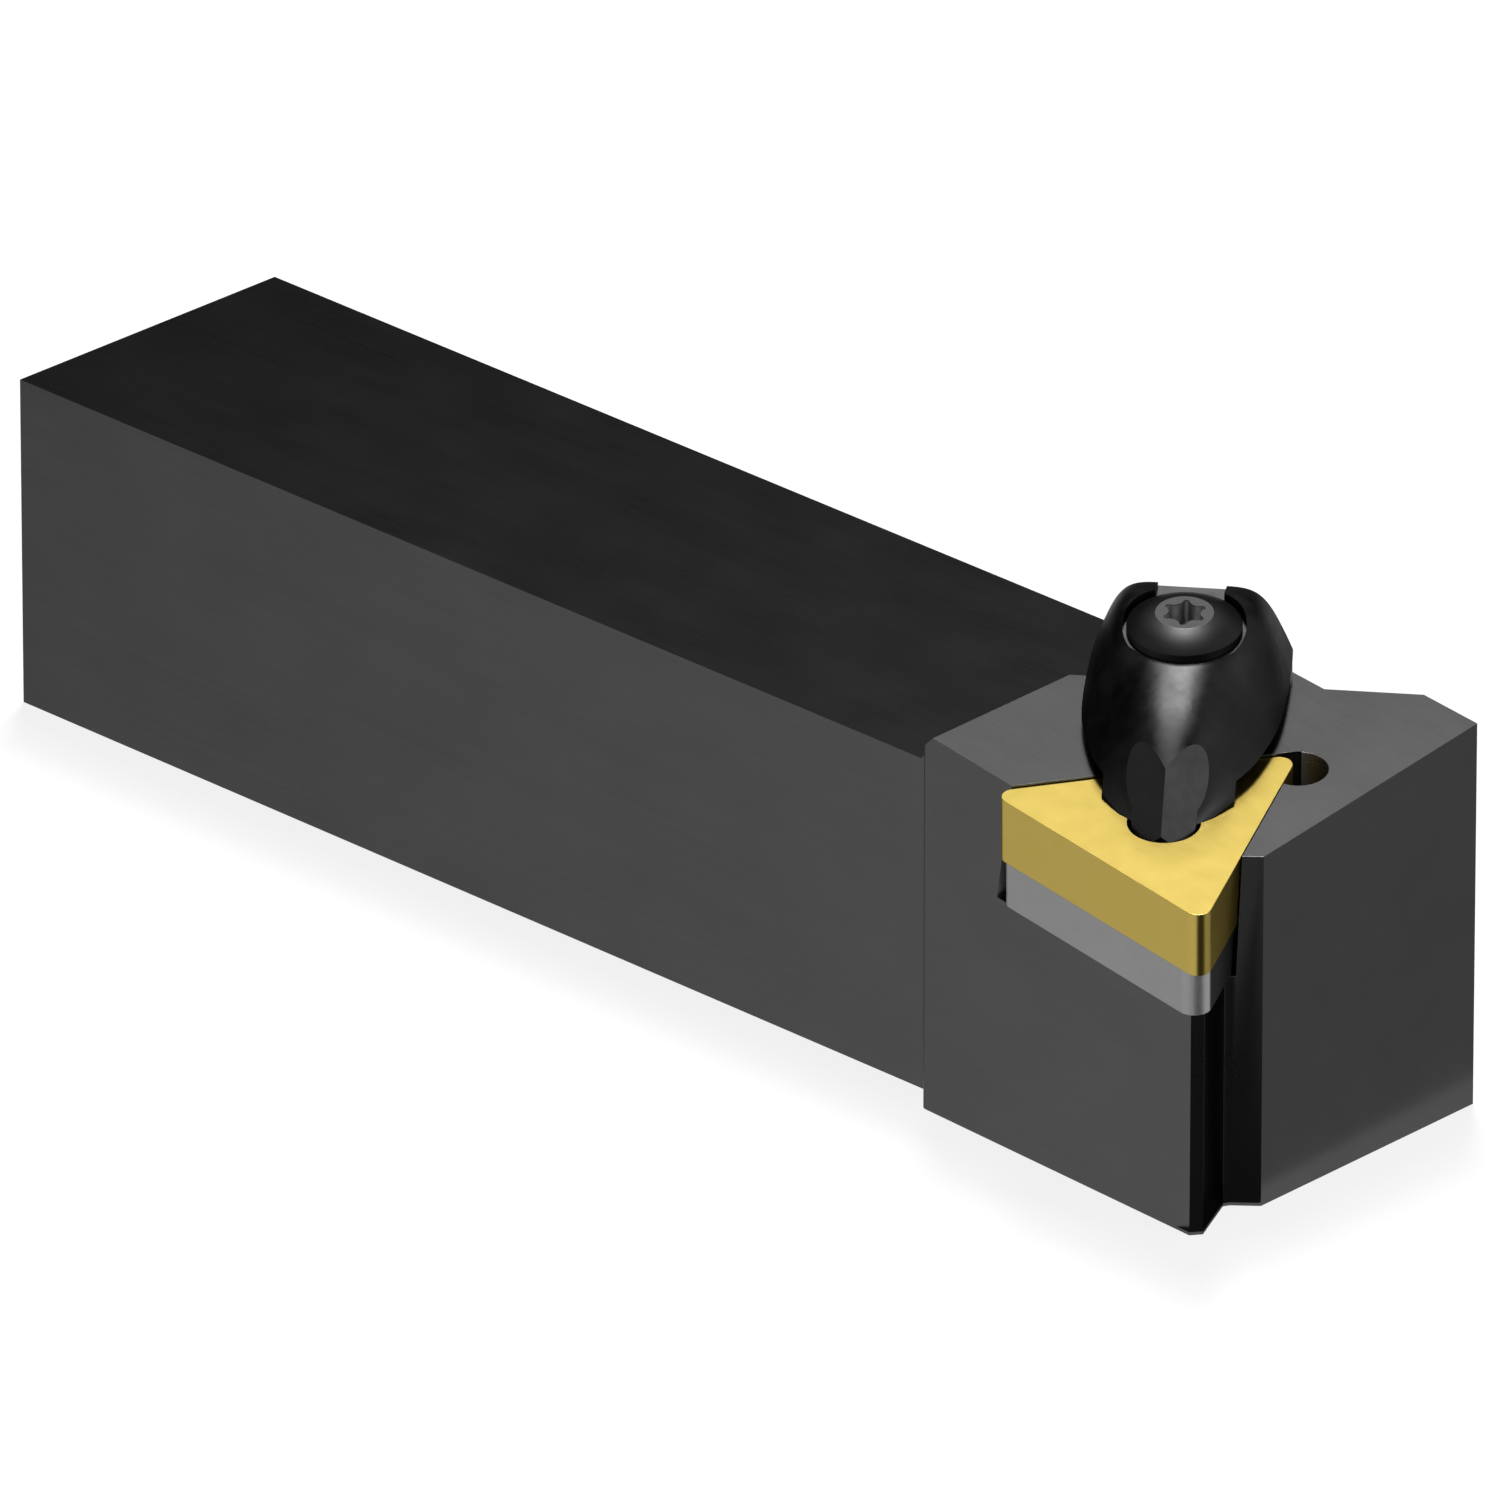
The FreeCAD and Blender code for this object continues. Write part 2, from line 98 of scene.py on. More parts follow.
# Spring in millimetres and turns, with how much is ground off each end
SPRING_WIRE = 0.7
SPRING_RADIUS = 3.75
SPRING_TURNS = 4.5
CLOSED_TURNS = 0.9
CLOSED_RISE = 0.65
GROUND_OFF = 0.15
STEPS_A_TURN = 40
WIRE_SIDES = 18
SPRING_SMOOTH_ANGLE = 50

# On flat-faced pieces, faces that meet under the flat angle are one, and an edge past the edge angle is
# broken. Angles in degrees, breaks in millimetres.
FLAT_ANGLE = 0.5
EDGE_ANGLE = 28
HOLDER_BREAK = 0.03
CARBIDE_BREAK = 0.06


# Frame of the seat, with X along the insert's edge and Z out of its top face
def seat_frame():
    lead = math.radians(LEAD_ANGLE)
    edge = Vector((math.cos(lead), -math.sin(lead), -math.tan(math.radians(EDGE_TILT)))).normalized()
    across = Vector((math.sin(lead), math.cos(lead), math.tan(math.radians(RAKE_TILT))))
    up = edge.cross(across).normalized()
    side = up.cross(edge)
    corner = Vector((CORNER_REACH, SHANK_SIDE / 2 - CORNER_WIDTH, SHANK_SIDE))
    half_edge = INSERT_CIRCLE / 2 * math.sqrt(3)
    centre = corner - edge * half_edge + side * (INSERT_CIRCLE / 2)
    turn = Matrix((edge, side, up)).transposed().to_4x4()
    return Matrix.Translation(centre * MM) @ turn


SEAT = seat_frame()
CLAMP = SEAT @ Matrix.Rotation(math.radians(CLAMP_TURN), 4, "Z")
SCREW = CLAMP @ Matrix.Translation((0, SCREW_BACK * MM, 0))


# Level direction at a bearing in degrees from the shank's length
def level_way(bearing):
    turn = math.radians(bearing)
    return Vector((math.cos(turn), math.sin(turn), 0))


# Colours are written as sRGB hex and turned to linear here
def colour(code):
    channels = [int(code[place:place + 2], 16) / 255 for place in (1, 3, 5)]
    return [c / 12.92 if c <= 0.04045 else ((c + 0.055) / 1.055) ** 2.4 for c in channels] + [1.0]


# Adds one node with its settings and what feeds its inputs, given by name or as i0, i1 and so on
def node(tree, kind, settings=None, **inputs):
    made = tree.nodes.new(kind)
    for key, value in (settings or {}).items():
        setattr(made, key, value)
    for key, value in inputs.items():
        numbered = key[0] == "i" and key[1:].isdigit()
        socket = made.inputs[int(key[1:])] if numbered else made.inputs[key.replace("_", " ")]
        if isinstance(value, bpy.types.NodeSocket):
            tree.links.new(value, socket)
        else:
            socket.default_value = value
    return made


# Finishes of the pieces

# New material with an empty tree
def start_finish(name):
    material = bpy.data.materials.new(name)
    material.use_nodes = True
    material.node_tree.nodes.clear()
    return material, material.node_tree


# Place on the piece, in the tool's own axes or in those of a frame
def place_on_piece(tree, axes=None):
    place = node(tree, "ShaderNodeTexCoord").outputs["Object"]
    if axes:
        place = node(tree, "ShaderNodeMapping", {"vector_type": "TEXTURE"}, Vector=place,
                     Location=axes.to_translation(), Rotation=axes.to_euler()).outputs[0]
    return place


# Noise whose grains measure so many millimetres along each axis
def grain(tree, place, sizes, detail=2.0):
    scaled = node(tree, "ShaderNodeVectorMath", {"operation": "MULTIPLY"}, i0=place,
                  i1=[1 / (size * MM) for size in sizes])
    noise = node(tree, "ShaderNodeTexNoise", None, Vector=scaled.outputs[0], Scale=1.0, Detail=detail)
    return noise.outputs[0]


# Distance from an upright axis through the point given, in millimetres
def from_axis(tree, place, centre=(0, 0)):
    flat = node(tree, "ShaderNodeVectorMath", {"operation": "MULTIPLY"}, i0=place, i1=(1 / MM, 1 / MM, 0))
    off = node(tree, "ShaderNodeVectorMath", {"operation": "SUBTRACT"}, i0=flat.outputs[0], i1=(*centre, 0))
    return node(tree, "ShaderNodeVectorMath", {"operation": "LENGTH"}, i0=off.outputs[0]).outputs["Value"]


# Reading along one axis in millimetres, numbered 0 for X and 2 for Z
def along_axis(tree, place, axis):
    metres = node(tree, "ShaderNodeSeparateXYZ", None, i0=place).outputs[axis]
    return node(tree, "ShaderNodeMath", {"operation": "MULTIPLY"}, i0=metres, i1=1 / MM).outputs[0]


# Rings that a lathe tool leaves about the axis, so many millimetres wide
def turning_marks(tree, place, width):
    spot = node(tree, "ShaderNodeCombineXYZ", None, i0=from_axis(tree, place), i1=along_axis(tree, place, 2))
    rings = node(tree, "ShaderNodeVectorMath", {"operation": "SCALE"}, i0=spot.outputs[0], Scale=1 / width)
    return node(tree, "ShaderNodeTexNoise", None, Vector=rings.outputs[0], Scale=1.0, Detail=1.0).outputs[0]


# Mask that is 1 on faces that look along a direction and 0 on the rest, by the cosine between them. The
# finishes paint light and shade with it, by which way a face looks.
def facing(tree, direction, none_at=0.955, all_at=0.985):
    normal = node(tree, "ShaderNodeTexCoord").outputs["Normal"]
    along = node(tree, "ShaderNodeVectorMath", {"operation": "DOT_PRODUCT"}, i0=normal, i1=direction)
    return node(tree, "ShaderNodeMapRange", None, i0=along.outputs["Value"], i1=none_at, i2=all_at).outputs[0]


# Mask that is 1 inside a radius about an upright axis and fades to 0 over a short way past it
def inside_round(tree, place, radius, fade, centre=(0, 0)):
    distance = from_axis(tree, place, centre)
    return node(tree, "ShaderNodeMapRange", None, i0=distance, i1=radius + fade, i2=radius).outputs[0]


# Mask that is 0 at one height and 1 at another, and holds past both
def at_height(tree, place, none_at, all_at):
    height = along_axis(tree, place, 2)
    return node(tree, "ShaderNodeMapRange", None, i0=height, i1=none_at, i2=all_at).outputs[0]


# Level that wanders with each noise by so much about where it starts
def wander(tree, start, *patterns):
    level = start
    for noise, amount in patterns:
        swing = node(tree, "ShaderNodeMapRange", None, i0=noise, i1=NOISE_LOW, i2=NOISE_HIGH, i3=-amount,
                     i4=amount)
        level = node(tree, "ShaderNodeMath", {"operation": "ADD"}, i0=level, i1=swing.outputs[0]).outputs[0]
    return level


# Tone that wanders between a dark and a pale one
def wandering_tone(tree, dark, pale, start, *patterns):
    share = wander(tree, start, *patterns)
    mixed = node(tree, "ShaderNodeMix", {"data_type": "RGBA"}, i0=share, i6=colour(dark), i7=colour(pale))
    return mixed.outputs[2]


# Tone with another laid over it where every mask is 1
def laid_over(tree, base, code, *masks):
    share = masks[0]
    for mask in masks[1:]:
        share = node(tree, "ShaderNodeMath", {"operation": "MULTIPLY"}, i0=share, i1=mask).outputs[0]
    return node(tree, "ShaderNodeMix", {"data_type": "RGBA"}, i0=share, i6=base, i7=colour(code)).outputs[2]


# Metal with its tone, its roughness and a skin that rises by so many millimetres
def finish_metal(tree, base, roughness, skin, rise):
    relief = node(tree, "ShaderNodeBump", None, Strength=1.0, Distance=rise * MM, Height=skin)
    shader = node(tree, "ShaderNodeBsdfPrincipled", None, Base_Color=base, Metallic=1.0, Roughness=roughness,
                  Normal=relief.outputs[0], Specular_Tint=GRAZING_TONE)
    node(tree, "ShaderNodeOutputMaterial", None, Surface=shader.outputs[0])


# Holder: ground steel under a thin black oxide, which gives a soft grey sheen. The tone is painted paler
# towards the head, painted light for the brighter light on the head. Painted shade makes the faces of the
# groove under the cutting corner blacker, and a painted highlight makes the drilled relief's wall pale, but
# not its rim. Real wheel marks lie a few hundredths of a millimetre apart, too fine to show, so they are
# drawn
# 0.35 mm apart and very faint.
def ground_black_oxide_steel():
    material, tree = start_finish("ground_black_oxide_steel")
    place = place_on_piece(tree)
    wheel_marks = grain(tree, place, (30, 0.35, 0.35))
    mottle = grain(tree, place, (9, 6, 6))
    # Painted light: the tone grows paler along the shank towards the head, standing in for the brighter light
    # there
    painted_light_toward_head = node(tree, "ShaderNodeMapRange", None, i0=along_axis(tree, place, 0), i1=0,
                       i2=HOLDER_LENGTH, i3=0.20, i4=0.72).outputs[0]
    oxide_and_painted_light = wandering_tone(tree, "#3d3d3d", "#565656", painted_light_toward_head, (mottle, 0.05), (wheel_marks, 0.04))
    # Painted shade: faces that look along the groove's bearing are painted blacker, for the shade in the
    # groove under the cutting corner
    oxide_and_painted_light = laid_over(tree, oxide_and_painted_light, "#222222", facing(tree, level_way(GROOVE_BEARING)))
    turn = math.radians(RELIEF_TURN)
    relief_centre = (RELIEF_RADIUS * math.cos(turn), INSERT_CIRCLE - RELIEF_RADIUS * math.sin(turn))
    # Painted highlight: the drilled relief's wall is painted pale so that it looks lit, and the mask stops
    # short of its rim
    painted_pale_relief_wall = inside_round(tree, place_on_piece(tree, SEAT), RELIEF_RADIUS + 0.002, 0.006, relief_centre)
    base = laid_over(tree, oxide_and_painted_light, "#d8d8d8", painted_pale_relief_wall)
    roughness = wander(tree, 0.28, (mottle, 0.006), (wheel_marks, 0.004))
    finish_metal(tree, base, roughness, wheel_marks, 0.00015)
    return material


# Clamp: drop-forged and tumbled steel, nearly black, with the shallow uneven skin of a forging and fine
# scale pits. Flats that look up out of the seat are painted slightly paler, a painted highlight.
def forged_black_steel():
    material, tree = start_finish("forged_black_steel")
    place = place_on_piece(tree)
    skin = grain(tree, place, (1.4, 1.4, 1.4), 3.0)
    pits = grain(tree, place, (0.3, 0.3, 0.3))
    patches = grain(tree, place, (5, 5, 5))
    scale = wandering_tone(tree, "#222222", "#2b2b2b", 0.5, (patches, 0.15), (skin, 0.2))
    # Painted highlight: faces that look up out of the insert's seat are painted paler, as if lit
    base = laid_over(tree, scale, "#454545", facing(tree, SEAT.col[2].xyz, 0.985, 0.995))
    roughness = wander(tree, 0.40, (skin, 0.04), (patches, 0.02))
    pitted = node(tree, "ShaderNodeMath", {"operation": "MULTIPLY_ADD"}, i0=pits, i1=0.15, i2=skin).outputs[0]
    finish_metal(tree, base, roughness, pitted, 0.005)
    return material


# Clamp screw: turned and blackened steel, dull, with the rings of a 0.12 mm feed about its axis. Its faced
# flat is painted paler than the dome and its broached drive is painted pale, both painted highlights.
def turned_screw_steel():
    material, tree = start_finish("turned_screw_steel")
    place = place_on_piece(tree, SCREW)
    rings = turning_marks(tree, place, 0.12)
    mottle = grain(tree, place, (2.5, 2.5, 2.5))
    blackened = wandering_tone(tree, "#252525", "#2c2c2c", 0.5, (rings, 0.22), (mottle, 0.15))
    # Painted highlight: the faced flat on top is painted paler than the dome round it
    blackened_with_painted_lit_flat = laid_over(tree, blackened, "#3b3b3b", inside_round(tree, place, FLAT_RADIUS, 0.05),
                      at_height(tree, place, SCREW_FLAT - 0.06, SCREW_FLAT - 0.03))
    # Painted highlight: the broached drive below the flat is painted pale so that it looks lit
    base = laid_over(tree, blackened_with_painted_lit_flat, "#a8a8a8", inside_round(tree, place, DRIVE_RADIUS, 0.06),
                     at_height(tree, place, SCREW_FLAT - 0.04, SCREW_FLAT - 0.12))
    roughness = wander(tree, 0.42, (rings, 0.03))
    finish_metal(tree, base, roughness, rings, 0.0012)
    return material


# Shim screw: blackened like the holder, with the rings of a 0.15 mm feed, and only seen when the insert
# is off
def blackened_screw_steel():
    material, tree = start_finish("blackened_screw_steel")
    place = place_on_piece(tree, SEAT)
    rings = turning_marks(tree, place, 0.15)
    mottle = grain(tree, place, (1.5, 1.5, 1.5))
    base = wandering_tone(tree, "#303030", "#404040", 0.5, (rings, 0.2), (mottle, 0.2))
    roughness = wander(tree, 0.36, (rings, 0.04))
    finish_metal(tree, base, roughness, rings, 0.0015)
    return material


# Insert: a satin gold nitride skin over lapped carbide, even, with a breath of mottle. Real lapping lines
# are some microns apart, too fine to show, so they are drawn 0.18 mm apart and very faint.
def nitride_coated_carbide():
    material, tree = start_finish("nitride_coated_carbide")
    place = place_on_piece(tree, SEAT)
    mottle = grain(tree, place, (2.5, 2.5, 2.5), 3.0)
    lapping = grain(tree, place, (4, 0.18, 0.18))
    base = wandering_tone(tree, "#ad984c", "#b59f55", 0.5, (mottle, 0.15), (lapping, 0.1))
    roughness = wander(tree, 0.30, (mottle, 0.008), (lapping, 0.008))
    finish_metal(tree, base, roughness, lapping, 0.0003)
    return material


# Shim: bare carbide from the grinding wheel, a dull mid grey. A painted highlight makes it brighter round
# its ground nose, and painted shade makes it dark where it faces the groove. Its wheel marks are some
# microns apart, too fine to show, so they are drawn 0.12 mm apart.
def ground_carbide():
    material, tree = start_finish("ground_carbide")
    place = place_on_piece(tree, SEAT)
    wheel_marks = grain(tree, place, (9, 9, 0.12))
    mottle = grain(tree, place, (2, 2, 2), 3.0)
    side = wandering_tone(tree, "#898989", "#969696", 0.5, (wheel_marks, 0.2), (mottle, 0.2))
    # Painted highlight: faces that look along the nose's bearing are painted brighter, round the ground nose
    nose = laid_over(tree, side, "#bebebe", facing(tree, level_way(NOSE_BEARING), 0.76, 0.93))
    # Painted shade: faces that look along the groove's bearing are painted dark
    base = laid_over(tree, nose, "#484848", facing(tree, level_way(GROOVE_BEARING)))
    roughness = wander(tree, 0.44, (wheel_marks, 0.03), (mottle, 0.02))
    finish_metal(tree, base, roughness, wheel_marks, 0.0015)
    return material


# Spring: drawn steel wire, smooth and a little bright, with faint streaks from the die. They are finer on
# real wire, and drawn 0.08 mm apart so that they show.
def drawn_spring_wire():
    material, tree = start_finish("drawn_spring_wire")
    streaks = grain(tree, place_on_piece(tree, SCREW), (1.2, 1.2, 0.08))
    base = wandering_tone(tree, "#6a6a6a", "#7c7c7c", 0.5, (streaks, 0.3))
    roughness = wander(tree, 0.30, (streaks, 0.04))
    finish_metal(tree, base, roughness, streaks, 0.001)
    return material


# Finished pieces

# A finished piece moves with its body and stands in for its CAD node
def placed(name, mesh, body, source):
    piece = bpy.data.objects.new(name, mesh)
    bpy.context.scene.collection.objects.link(piece)
    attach(piece, body)
    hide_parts(source)
    return piece


# Points, faces and corner normals of a CAD node, with its loose triangles welded
def cad_shell(source):
    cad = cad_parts[source].data
    points, numbers, seen = [], [], {}
    for vert in cad.vertices:
        key = tuple(round(c / WELD) for c in vert.co)
        if key not in seen:
            seen[key] = len(points)
            points.append(Vector(vert.co))
        numbers.append(seen[key])
    faces, normals = [], []
    for face in cad.polygons:
        corners = [numbers[index] for index in face.vertices]
        if len(set(corners)) == len(corners):
            faces.append(corners)
            normals.append([cad.corner_normals[loop].vector.copy() for loop in face.loop_indices])
    return points, faces, normals


# How far a thread reaches from its axis, with a run-in below its start and a chamfer above its end
def thread_reach(turn, height, radius, start, end, pitch, depth):
    phase = (height / pitch - turn / (2 * math.pi)) % 1
    from_crest = abs(2 * phase - 1)
    groove = min(1, max(0, (from_crest - CREST_SHARE) / FLANK_SHARE))
    run_in = min(1, (start - height) / (RUN_IN_SHARE * pitch))
    return min(radius - depth * groove * run_in, radius - depth + height - end)


# A screw without the plain shank and end below its head, and the ring of points that this leaves open
def open_shank(shell, axes, radius, top, end):
    points, faces, normals = shell
    inward = axes.inverted()
    local = [(inward @ point) / MM for point in points]
    on_shank = [abs(math.hypot(place.x, place.y) - radius) < NEAR and place.z < top + NEAR for place in local]
    on_end = [abs(place.z - end) < NEAR for place in local]
    kept = [k for k, face in enumerate(faces) if not all(on_shank[v] or on_end[v] for v in face)]
    faces = [faces[k] for k in kept]
    normals = [normals[k] for k in kept]
    used = {v for face in faces for v in face}
    ring = [v for v in used if on_shank[v] and abs(local[v].z - top) < NEAR]
    turn_of = {v: math.atan2(local[v].y, local[v].x) for v in ring}
    ring.sort(key=turn_of.get)
    return faces, normals, ring, [turn_of[v] for v in ring]


# The plain shank of a screw becomes a real right-hand thread, ring by ring from under the head to the end.
# The new faces have normals of nought, which Blender then works out by itself.
def cut_thread(shell, axes, radius, top, start, end, pitch, depth):
    points = list(shell[0])
    faces, normals, ring, turns = open_shank(shell, axes, radius, top, end)
    steps = round((start - end) / pitch * RINGS_A_PITCH)
    for step in range(steps + 1):
        height = start + (end - start) * step / steps
        lower = []
        for turn in turns:
            reach = thread_reach(turn, height, radius, start, end, pitch, depth)
            lower.append(len(points))
            points.append(axes @ (Vector((reach * math.cos(turn), reach * math.sin(turn), height)) * MM))
        for here in range(len(ring)):
            after = (here + 1) % len(ring)
            faces.append([ring[here], lower[here], lower[after], ring[after]])
            normals.append([Vector((0, 0, 0))] * 4)
        ring = lower
    faces.append(ring[::-1])
    normals.append([Vector((0, 0, 0))] * len(ring))
    used = sorted({v for face in faces for v in face})
    number = {v: k for k, v in enumerate(used)}
    return [points[v] for v in used], [[number[v] for v in face] for face in faces], normals


# A piece that keeps the exact curvature of its CAD solid
def curved_piece(name, shell, body, source, material):
    points, faces, normals = shell
    mesh = bpy.data.meshes.new(name)
    mesh.from_pydata([tuple(point) for point in points], [], faces)
    mesh.shade_smooth()
    mesh.normals_split_custom_set([tuple(normal) for corners in normals for normal in corners])
    mesh.materials.append(material)
    return placed(name, mesh, body, source)


# A flat-faced piece whose edges are broken as a grinder breaks them
def ground_piece(name, body, source, material, edge_break):
    shell = bmesh.new()
    shell.from_mesh(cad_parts[source].data)
    bmesh.ops.remove_doubles(shell, verts=shell.verts, dist=WELD)
    bmesh.ops.dissolve_limit(shell, angle_limit=math.radians(FLAT_ANGLE), verts=shell.verts,
                             edges=shell.edges)
    shell.verts.index_update()
    points = [tuple(vert.co) for vert in shell.verts]
    faces = [[vert.index for vert in face.verts] for face in shell.faces]
    shell.free()
    mesh = bpy.data.meshes.new(name)
    mesh.from_pydata(points, [], faces)
    mesh.shade_smooth()
    mesh.set_sharp_from_angle(angle=math.radians(EDGE_ANGLE))
    mesh.materials.append(material)
    piece = placed(name, mesh, body, source)
    bevel = piece.modifiers.new("edge_break", "BEVEL")
    bevel.width = edge_break * MM
    bevel.segments = 2
    bevel.limit_method = "ANGLE"
    bevel.angle_limit = math.radians(EDGE_ANGLE)
    bevel.harden_normals = True
    return piece


# Wire swept along a path, for the spring
def wire_tree(material):
    group = bpy.data.node_groups.new("coiled_wire", "GeometryNodeTree")
    sockets = group.interface
    sockets.new_socket(name="Path", in_out="INPUT", socket_type="NodeSocketGeometry")
    radius = sockets.new_socket(name="Wire radius", in_out="INPUT", socket_type="NodeSocketFloat")
    sides = sockets.new_socket(name="Sides", in_out="INPUT", socket_type="NodeSocketInt")
    sockets.new_socket(name="Wire", in_out="OUTPUT", socket_type="NodeSocketGeometry")
    given = node(group, "NodeGroupInput")
    curve = node(group, "GeometryNodeMeshToCurve", None, i0=given.outputs["Path"])
    circle = node(group, "GeometryNodeCurvePrimitiveCircle", None, Resolution=given.outputs["Sides"],
                  Radius=given.outputs["Wire radius"])
    swept = node(group, "GeometryNodeCurveToMesh", None, Curve=curve.outputs[0],
                 Profile_Curve=circle.outputs[0], Fill_Caps=True)
    real = node(group, "GeometryNodeRealizeInstances", None, i0=swept.outputs[0])
    dressed = node(group, "GeometryNodeSetMaterial", None, i0=real.outputs[0], Material=material)
    node(group, "NodeGroupOutput", None, i0=dressed.outputs[0])
    return group, radius.identifier, sides.identifier


# How far the wire has risen after so many turns, slowly in the closed ends and evenly between them
def coil_height(turn, rise):
    if turn < CLOSED_TURNS:
        return CLOSED_RISE * turn / CLOSED_TURNS
    if turn > SPRING_TURNS - CLOSED_TURNS:
        return rise - CLOSED_RISE * (SPRING_TURNS - turn) / CLOSED_TURNS
    open_share = (turn - CLOSED_TURNS) / (SPRING_TURNS - 2 * CLOSED_TURNS)
    return CLOSED_RISE + (rise - 2 * CLOSED_RISE) * open_share


# Path of the wire's middle, which runs past both ends of the spring by what is ground off
def coil_path():
    foot = SPRING_FOOT + SPRING_WIRE / 2 - GROUND_OFF
    rise = SPRING_TOP - SPRING_WIRE / 2 + GROUND_OFF - foot
    path = []
    for step in range(int(SPRING_TURNS * STEPS_A_TURN) + 1):
        turn = step / STEPS_A_TURN
        angle = 2 * math.pi * turn
        around = Vector((SPRING_RADIUS * math.cos(angle), SPRING_RADIUS * math.sin(angle), 0))
        path.append(SCREW @ ((around + Vector((0, 0, foot + coil_height(turn, rise)))) * MM))
    return path


# Compression spring under the clamp, with closed ends ground flat
def coil_spring(name, body, source, material):
    path = coil_path()
    line = bpy.data.meshes.new(name + "_path")
    line.from_pydata([tuple(point) for point in path], [(k, k + 1) for k in range(len(path) - 1)], [])
    former = bpy.data.objects.new(name + "_former", line)
    bpy.context.scene.collection.objects.link(former)
    group, radius, sides = wire_tree(material)
    coil = former.modifiers.new("coiled_wire", "NODES")
    coil.node_group = group
    coil[radius] = SPRING_WIRE / 2 * MM
    coil[sides] = WIRE_SIDES
    mesh = bpy.data.meshes.new_from_object(former.evaluated_get(bpy.context.evaluated_depsgraph_get()))
    bpy.data.objects.remove(former)
    mesh.name = name
    inward = SCREW.inverted()
    shell = bmesh.new()
    shell.from_mesh(mesh)
    bmesh.ops.remove_doubles(shell, verts=shell.verts, dist=WELD)
    bmesh.ops.recalc_face_normals(shell, faces=shell.faces)
    for vert in shell.verts:
        place = inward @ vert.co
        place.z = min(max(place.z, SPRING_FOOT * MM), SPRING_TOP * MM)
        vert.co = SCREW @ place
    shell.to_mesh(mesh)
    shell.free()
    mesh.shade_smooth()
    mesh.set_sharp_from_angle(angle=math.radians(SPRING_SMOOTH_ANGLE))
    return placed(name, mesh, body, source)


ground_piece("holder_body_finished", "holder", "holder_body", ground_black_oxide_steel(),
             HOLDER_BREAK)
ground_piece("insert_finished", "holder", "insert", nitride_coated_carbide(),
             CARBIDE_BREAK)
ground_piece("shim_finished", "holder", "shim", ground_carbide(), CARBIDE_BREAK)
curved_piece("clamp_finished", cad_shell("clamp"), "clamp", "clamp", forged_black_steel())
curved_piece("clamp_screw_finished", cut_thread(cad_shell("clamp_screw"), SCREW, **CLAMP_THREAD),
             "screw", "clamp_screw", turned_screw_steel())
curved_piece("shim_screw_finished", cut_thread(cad_shell("shim_screw"), SEAT, **SHIM_THREAD),
             "holder", "shim_screw", blackened_screw_steel())
coil_spring("clamp_spring_finished", "holder", "clamp_spring", drawn_spring_wire())


# Studio, in metres

# Camera at the photo's angle, with its focal length in pixels of the photo and its sensor in millimetres
CAMERA_PLACE = (1.76573, -1.692505, 1.13116)
CAMERA_LOOK = (-0.640197, 0.641337, -0.422889)
FOCAL_PIXELS = 29926.15
PHOTO_PIXELS = 1500
SENSOR_WIDTH = 36.0
NEAREST_SEEN = 0.1
FARTHEST_SEEN = 50.0

camera = bpy.data.objects.new("photo_camera", bpy.data.cameras.new("photo_camera"))
bpy.context.scene.collection.objects.link(camera)
camera.location = CAMERA_PLACE
camera.rotation_euler = Vector(CAMERA_LOOK).to_track_quat("-Z", "Y").to_euler()
camera.data.sensor_width = SENSOR_WIDTH
camera.data.lens = FOCAL_PIXELS * SENSOR_WIDTH / PHOTO_PIXELS
camera.data.clip_start = NEAREST_SEEN
camera.data.clip_end = FARTHEST_SEEN
bpy.context.scene.camera = camera

# The background glows white, the room lights the tool by less, and the floor shows a share of its shadow
WHITE = 1.0
ROOM_LIGHT = 0.3
FLOOR_REACH = 6.0
FLOOR_PAINT = 0.8
SHADOW_SHARE = 0.15

# Lamps stand this far from the middle of the head and aim at it
TARGET = Vector((0.12, 0.0, 0.02))
LAMP_DISTANCE = 1.2

# Name, direction from the tool, disc size, watts
LAMPS = [
    ("high_back_lamp", (-0.242, 0.242, 0.940), 0.2, 15.0),
    ("overhead_lamp", (-0.123, 0.123, 0.985), 0.2, 6.6),
    ("right_lamp", (0.87, 0.31, 0.37), 0.4, 3.1),
]

# Level directions away from the camera and across its view
BACK = Vector((-0.64, 0.64, 0)).normalized()
SIDE = Vector((BACK.y, -BACK.x, 0))

# Brightness of the cards and boards that only reflections see
BLACK = 0.01
CHARCOAL = 0.03
GREY = 0.54

# Points of the floor about the head: below the cutting corner and the insert's edge, at the near end of the
# front face and past its far end, and under the head
UNDER_CORNER = (0.1495, -0.0215)
UNDER_EDGE = (0.142, -0.012)
FRONT_NEAR = (0.1528, -0.012)
FRONT_FAR = (0.1528, 0.036)
UNDER_HEAD = (0.145, 0.0)

# Cards just above the floor round the head, which paint the floor's shade there into the metal's reflections:
# name, inner corners, first and last bearing in degrees, reach, brightness
CARD_LIFT = 0.0003
CARD_STEPS = 12
FLOOR_CARDS = [
    ("front_flag", [UNDER_CORNER, UNDER_EDGE, FRONT_NEAR], -50, 6, 0.35, CHARCOAL),
    ("face_card", [FRONT_NEAR, FRONT_FAR], 6, 75, 0.35, GREY),
    ("rear_flag", [FRONT_FAR, UNDER_HEAD], 75, 120, 0.15, BLACK),
]

# Boards that stand on the floor: name, two ends, foot, top, brightness
BEHIND = Vector((0.08, 0, 0)) + BACK * 0.8
BOARDS = [
    ("left_flag", Vector((-0.365, 0.10)), Vector((-0.289, -0.27)), 0.001, 0.5, BLACK),
    ("back_flag", BEHIND - SIDE * 0.9, BEHIND + SIDE * 0.9, 0.0, 0.64, BLACK),
]

